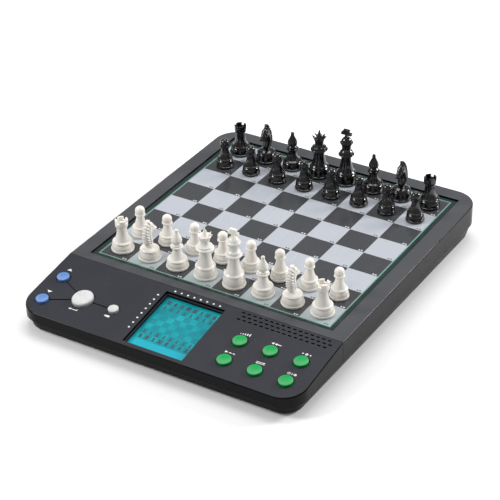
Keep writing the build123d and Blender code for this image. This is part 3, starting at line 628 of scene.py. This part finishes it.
def power_mark(x, y):
    """A broken ring with an upright stroke, then a bar and a ring."""
    return [
        arch(x - 1.9, y - 0.1, 1.2, 0.4, 125, 415),
        bar(x - 1.9, y + 0.6, 0.4, 1.3),
        bar(x + 0.5, y, 0.45, 2.2),
        arch(x + 2.9, y - 0.1, 1.1, 0.4, 0, 355),
    ]


# Each green button, across and down the panel, and the mark's place above its middle.
GREEN_MARKS = [level_mark, back_mark, hint_mark, start_mark, swap_mark, power_mark]
GREEN_SPOTS = [(x, down) for down in (31.2, 53.0) for x in (51.9, 76.9, 101.9)]
GREEN_MARK_SHIFT = (-0.4, 8.9)
for draw, (x, down) in zip(GREEN_MARKS, GREEN_SPOTS):
    marks += draw(x + GREEN_MARK_SHIFT[0], -down + GREEN_MARK_SHIFT[1])

# Upright triangles beside the blue buttons, one pointing up the panel and one down.
BLUE_MARK_X, UP_MARK_Y, DOWN_MARK_Y = -106.4, -16.7, -44.2
for middle, height in ((UP_MARK_Y, 2.2), (DOWN_MARK_Y, -2.2)):
    corners = [(-2.2, -height / 2), (2.2, -height / 2), (0, height / 2)]
    marks.append([(BLUE_MARK_X + x, middle + y) for x, y in corners])

# Beside the enter button, a bent arrow; beside the clear button, a tag.
ENTER_MARK = (-78.6, -53.5)
marks += [
    bar(ENTER_MARK[0] + 0.8, ENTER_MARK[1], 5.0, 0.6),
    wedge(ENTER_MARK[0] - 2.7, ENTER_MARK[1], -2.2, 2.2),
    bar(ENTER_MARK[0] + 3.55, ENTER_MARK[1] + 0.5, 0.6, 1.6),
]
CLEAR_MARK = (-51.3, -48.8)
marks += [
    wedge(CLEAR_MARK[0] - 1.7, CLEAR_MARK[1], -1.8, 1.8),
    bar(CLEAR_MARK[0] + 0.8, CLEAR_MARK[1], 3.0, 1.8),
]
printed("panel_markings", marks, 0.0, INK_THICKNESS, PAINT)


# ---------------------------------------------------------------- the display's little chessmen
def mirrored(half):
    return half + [(-x, y) for x, y in half[::-1]]


# The outlines of the chessmen, each as half of a symmetrical shape but for the knight's.
GLYPHS = {
    "pawn": mirrored(
        [(1.5, 0), (1.5, 0.6), (0.6, 1.2), (0.5, 2.2), (0.95, 2.7), (0.8, 3.3), (0.35, 3.7)]
    ),
    "rook": mirrored(
        [(1.7, 0), (1.7, 0.7), (1.1, 1.2), (1.0, 2.8), (1.5, 3.2), (1.5, 4.1), (0.9, 4.1), (0.9, 3.6)]
        + [(0.4, 3.6), (0.4, 4.1)]
    ),
    "bishop": mirrored(
        [(1.6, 0), (1.6, 0.6), (0.7, 1.2), (0.6, 2.0), (1.1, 2.6), (0.9, 3.4), (0.25, 4.1)]
    ),
    "queen": mirrored(
        [(1.8, 0), (1.8, 0.6), (1.0, 1.2), (1.2, 2.2), (1.9, 4.0), (1.0, 3.0), (0.7, 4.3)]
        + [(0.2, 3.0)]
    ),
    "king": mirrored(
        [(1.8, 0), (1.8, 0.6), (1.0, 1.2), (1.5, 2.8), (1.0, 3.4), (0.3, 3.4), (0.3, 3.8), (0.9, 3.8)]
        + [(0.9, 4.2), (0.3, 4.2), (0.3, 4.6)]
    ),
    "knight": [(-1.5, 0), (1.5, 0), (1.5, 0.6), (1.0, 1.2), (1.3, 2.6), (0.9, 3.8), (0.1, 4.4)]
    + [(-0.3, 3.9), (-1.4, 2.9), (-1.5, 2.2), (-0.9, 2.0), (-0.2, 2.3), (-1.0, 1.2), (-1.5, 0.6)],
}
GLYPH_FOOT = 2.2
SEGMENT_THICKNESS = 0.02
BACK_RANK = ["rook", "knight", "bishop", "queen", "king", "bishop", "knight", "rook"]
glyphs = []
for file_index, kind in enumerate(BACK_RANK):
    for rank, drawn in ((0, kind), (1, "pawn"), (6, "pawn"), (7, kind)):
        cx = LCD_GRID[0] + (file_index - 3.5) * LCD_CELL
        cy = LCD_GRID[1] + (rank - 3.5) * LCD_CELL - GLYPH_FOOT
        glyphs.append([(cx + x, cy + y) for x, y in GLYPHS[drawn]])
printed("lcd_chessmen", glyphs, LCD_GLASS_DEPTH, SEGMENT_THICKNESS, SEGMENTS)


# ---------------------------------------------------------------- carved knights
RING = 28


def arc_points(start, end, bulge, steps=6):
    """Points from just after start up to end, on an arc that bows outwards by bulge."""
    (r0, z0), (r1, z1) = start, end
    if not bulge:
        return [end]
    length = math.hypot(r1 - r0, z1 - z0)
    out = ((z1 - z0) / length, -(r1 - r0) / length)
    points = []
    for i in range(1, steps + 1):
        t = i / steps
        lift = 4 * t * (1 - t) * bulge
        points.append((r0 + (r1 - r0) * t + out[0] * lift, z0 + (z1 - z0) * t + out[1] * lift))
    return points


def foot(rim, shoulder, height):
    """The turned base that all chessmen share, as radius, height and bulge."""
    return [
        (rim - 0.9, 0, 0),
        (rim, 0.9, 0.25),
        (rim, 1.9, 0),
        (rim - 0.75, 2.3, 0),
        (rim - 0.45, 2.9, 0),
        (shoulder + 0.1, height - 2.0, 0.2),
        (shoulder - 0.25, height - 1.6, 0),
        (shoulder + 0.3, height - 1.1, 0.05),
        (shoulder - 0.3, height, 0.25),
    ]


def lathe(mesh, outline, sides=72):
    """A closed turned solid."""
    rings = []
    for radius, height in outline:
        ring = []
        for i in range(sides):
            a = 2 * math.pi * i / sides
            ring.append(mesh.verts.new((radius * math.cos(a), radius * math.sin(a), height)))
        rings.append(ring)
    skin(mesh, rings)


def skin(mesh, rings):
    """Closes a row of rings into a solid."""
    for low, high in zip(rings, rings[1:]):
        for i in range(len(low)):
            j = (i + 1) % len(low)
            mesh.faces.new((low[i], low[j], high[j], high[i]))
    mesh.faces.new(rings[0][::-1])
    mesh.faces.new(rings[-1])


def oval(centre, first, second):
    """A ring of points round centre, spanned by two half-axes."""
    points = []
    for i in range(RING):
        a = 2 * math.pi * i / RING
        points.append(Vector(centre) + math.cos(a) * Vector(first) + math.sin(a) * Vector(second))
    return points


def lofted(mesh, sections):
    skin(mesh, [[mesh.verts.new(p) for p in oval(*section)] for section in sections])


# Slices of the neck: height, back, front and half width.
NECK = [
    (9.2, -2.5, 2.2, 1.8),
    (11.0, -3.5, 2.7, 2.4),
    (13.5, -4.9, 3.2, 3.1),
    (16.0, -5.8, 2.4, 3.6),
    (18.5, -6.4, 1.7, 3.6),
    (21.5, -6.6, 2.0, 3.3),
    (24.5, -6.3, 3.0, 3.0),
    (27.5, -5.3, 3.2, 2.7),
    (30.0, -4.1, 2.4, 2.2),
    (32.0, -2.7, 1.4, 1.6),
    (33.1, -1.6, 0.9, 0.9),
]
# Slices of the head: middle (forward, up), half depth and half width, from the poll to the lips.
HEAD = [
    (-3.0, 28.4, 2.2, 1.6),
    (-0.6, 28.2, 3.3, 2.5),
    (1.8, 26.9, 3.6, 2.9),
    (3.8, 25.2, 3.0, 2.6),
    (5.6, 24.0, 2.2, 2.1),
    (7.2, 23.1, 1.75, 1.85),
    (8.3, 22.5, 1.45, 1.7),
    (8.9, 22.1, 0.7, 1.0),
]
HEAD_LEAN = math.radians(-33)


def back_of_neck(z):
    for (z0, y0, *_), (z1, y1, *_) in zip(NECK, NECK[1:]):
        if z <= z1:
            t = max(0.0, (z - z0) / (z1 - z0))
            return y0 + (y1 - y0) * t
    return NECK[-1][1]


def bell(distance, width):
    return math.exp(-((distance / width) ** 2))


def relief(p):
    """How far the carving moves a point of the horse outwards."""
    x, y, z = abs(p.x), p.y, p.z
    behind = y - back_of_neck(z)
    move = 0.0
    if 11.5 < z < 33.5:
        fade = min(1.0, (z - 11.5) / 2.5, (33.5 - z) / 1.5)
        mane = max(0.0, min(1.0, (3.1 - behind) / 0.7))
        locks = math.sin(2 * math.pi * (z * 0.9 + behind * 0.75) / 1.95)
        move += fade * mane * (0.18 + 0.30 * locks)
        move -= fade * 0.50 * bell(behind - 3.45, 0.45)
        move -= fade * 0.35 * bell(x, 0.35) * bell(behind, 1.2)
    eye = math.dist((y, z), (1.9, 28.1))
    move += 0.42 * bell(eye, 0.65) - 0.30 * bell(eye - 1.15, 0.35)
    move += 0.35 * bell(math.dist((y, z), (1.4, 24.6)), 1.5)
    move -= 0.32 * bell(math.dist((y, z), (4.4, 26.0)), 0.8)
    move -= 0.45 * bell(math.dist((x, y, z), (1.5, 8.1, 23.3)), 0.42)
    if 6.0 < y < 9.4:
        move -= 0.32 * bell(z - (21.55 + 0.20 * (y - 6.0)), 0.22)
    if y > 1.5:
        move -= 0.30 * bell(x, 0.5) * bell(math.dist((y, z), (3.0, 13.0)), 2.2)
    return move


def plain_mesh(source, name):
    """The mesh that an object shows, with its modifiers applied."""
    bpy.context.view_layer.update()
    shown = source.evaluated_get(bpy.context.evaluated_depsgraph_get())
    result = bpy.data.meshes.new_from_object(shown)
    result.name = name
    return result


def workpiece(mesh, name):
    """A passing object for the modifiers to work on."""
    bmesh.ops.recalc_face_normals(mesh, faces=mesh.faces)
    data = bpy.data.meshes.new(name)
    mesh.to_mesh(data)
    mesh.free()
    holder = bpy.data.objects.new(name, data)
    bpy.context.scene.collection.objects.link(holder)
    return holder


VOXEL = 0.24
SHARP_ANGLE = 42


def knight_mesh():
    """A horse's head and neck with mane, eyes, ears and muzzle, on the turned base."""
    raw = bmesh.new()
    neck = []
    for z, back, front, half in NECK:
        neck.append(((0, (back + front) / 2, z), (half, 0, 0), (0, (front - back) / 2, 0)))
    lofted(raw, neck)
    across = Vector((0, -math.sin(HEAD_LEAN), math.cos(HEAD_LEAN)))
    lofted(raw, [((0, y, z), (half, 0, 0), across * depth) for y, z, depth, half in HEAD])
    for side in (-1, 1):
        ear = [(1.25, -1.0, 30.8, 0.95), (1.35, -0.6, 32.6, 0.80), (1.1, 0.1, 34.3, 0.16)]
        lofted(raw, [((side * x, y, z), (0.75 * r, 0, 0), (0, r, 0.2 * r)) for x, y, z, r in ear])
    horse = workpiece(raw, "horse")
    remesh = horse.modifiers.new("remesh", "REMESH")
    remesh.mode = "VOXEL"
    remesh.voxel_size = VOXEL
    smooth = horse.modifiers.new("smooth", "SMOOTH")
    smooth.factor, smooth.iterations = 0.5, 5
    horse.data = plain_mesh(horse, "horse_skin")
    horse.modifiers.clear()
    vertices = horse.data.vertices
    moved = [v.co + v.normal * relief(v.co) for v in vertices]
    for vertex, place in zip(vertices, moved):
        vertex.co = place

    stand = bmesh.new()
    outline, here = [], (0, 0)
    for radius, height, bulge in foot(8.9, 7.2, 9.2) + [(5.6, 10.0, 0.1), (2.8, 10.9, 0.1)]:
        outline += arc_points(here, (radius, height), bulge)
        here = (radius, height)
    lathe(stand, outline)
    base = workpiece(stand, "stand")
    join = base.modifiers.new("join", "BOOLEAN")
    join.operation, join.solver, join.object = "UNION", "EXACT", horse
    result = plain_mesh(base, "knight")
    for holder in (horse, base):
        bpy.data.objects.remove(holder)
    result.polygons.foreach_set("use_smooth", [True] * len(result.polygons))
    result.set_sharp_from_angle(angle=math.radians(SHARP_ANGLE))
    return result


STANDING_GAP = 0.03
KNIGHTS = [("white", 0, 0, IVORY), ("black", 7, 180, EBONY)]
carved = knight_mesh()
for side, rank, turn, material in KNIGHTS:
    for letter, file_index in (("b", 1), ("g", 6)):
        square = ((file_index - 3.5) * SQUARE, FIELD_Y + (rank - 3.5) * SQUARE, STANDING_GAP)
        placing = BOARD @ Matrix.Translation(Vector(square) * MM)
        placing = placing @ Matrix.Rotation(math.radians(turn), 4, "Z") @ Matrix.Scale(MM, 4)
        data = carved.copy()
        data.transform(placing)
        data.materials.clear()
        data.materials.append(material)
        node_name = f"{side}_knight_{letter}"
        knight = bpy.data.objects.new(f"{node_name}_carved", data)
        bpy.context.scene.collection.objects.link(knight)
        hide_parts(node_name)
        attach(knight, node_name)
bpy.data.meshes.remove(carved)


# ---------------------------------------------------------------- floor, light and camera (metres)
FLOOR_SIDE = 12
WORLD_STRENGTH = 0.38


def area_light(name, place, aim, size, power):
    data = bpy.data.lights.new(name, "AREA")
    data.shape = "RECTANGLE"
    data.size, data.size_y = size
    data.energy = power
    lamp = bpy.data.objects.new(name, data)
    lamp.location = place
    lamp.rotation_euler = (Vector(aim) - Vector(place)).to_track_quat("-Z", "Y").to_euler()
    bpy.context.scene.collection.objects.link(lamp)


def floor():
    bpy.ops.mesh.primitive_plane_add(size=FLOOR_SIDE)
    plane = bpy.context.object
    plane.name = "floor"
    look = Look("floor_paper")
    cloud = look.ramp(look.noise(400, 2), 0.3, 0.7)
    tone = look.mix(cloud, (0.90, 0.90, 0.90), (0.93, 0.93, 0.93))
    look.bump(look.noise(1.5, 3), 0.02, 0.1)
    look.set(base_color=tone, roughness=0.85, specular_ior_level=0.1)
    plane.data.materials.append(look.material)


def studio():
    world = bpy.data.worlds.new("studio")
    world.use_nodes = True
    background = world.node_tree.nodes["Background"]
    background.inputs["Color"].default_value = (1, 1, 1, 1)
    background.inputs["Strength"].default_value = WORLD_STRENGTH
    bpy.context.scene.world = world
    area_light("top_softbox", (-0.25, 0.55, 1.6), (0, 0.05, 0), (1.2, 0.9), 14)
    area_light("left_softbox", (-0.95, -0.75, 1.05), (0, 0, 0), (0.45, 0.45), 13)
    area_light("right_softbox", (0.91, 1.01, 0.72), (0.05, 0, 0), (0.50, 0.24), 18)


LOOK_AT = Vector((-0.0021, -0.0084, 0.0279))
DISTANCE = 1.349
AZIMUTH, ELEVATION, ROLL = 31.02, 31.49, -0.276
LENS, SENSOR = 126.76, 36.0


def camera():
    data = bpy.data.cameras.new("camera")
    data.lens = LENS
    data.sensor_width = SENSOR
    turn = (
        Matrix.Rotation(math.radians(AZIMUTH), 4, "Z")
        @ Matrix.Rotation(math.radians(90 - ELEVATION), 4, "X")
        @ Matrix.Rotation(math.radians(ROLL), 4, "Z")
    )
    viewer = bpy.data.objects.new("camera", data)
    viewer.matrix_world = Matrix.Translation(LOOK_AT) @ turn @ Matrix.Translation((0, 0, DISTANCE))
    bpy.context.scene.collection.objects.link(viewer)
    bpy.context.scene.camera = viewer


floor()
studio()
camera()
bpy.context.scene.view_settings.view_transform = "Standard"
